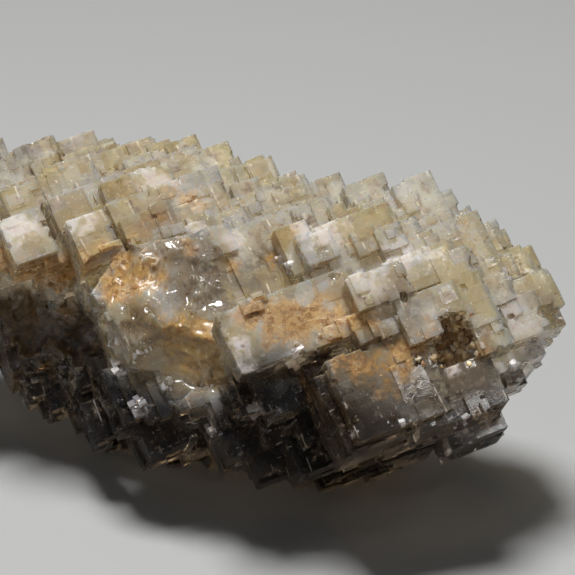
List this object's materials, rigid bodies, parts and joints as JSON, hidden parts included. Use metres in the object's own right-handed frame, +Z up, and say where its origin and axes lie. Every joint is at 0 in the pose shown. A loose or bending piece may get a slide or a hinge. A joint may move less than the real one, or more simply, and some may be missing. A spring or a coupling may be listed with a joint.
{
  "type": "fluorite specimen",
  "caption": "Long fluorite cluster of stepped cubes grown in parallel, with an old break, a stained hollow, a small pocket and a flat cut face underneath to rest on.",
  "frame": {"origin": "middle of the bounding box's underside, which is the flat cut the specimen rests on", "axes": "+Z up, +X along the width seen from the front (the right end is +X), +Y away from the front"},
  "size_m": [0.07, 0.0496, 0.0329],
  "materials": {
    "fluorite": "translucent cream to pale yellow crystal, waxy to glassy faces, clear grey lower part, orange-brown iron stain in the recesses"
  },
  "bodies": {
    "root": {"fluorite_cluster": "fluorite"}
  },
  "joints": []
}
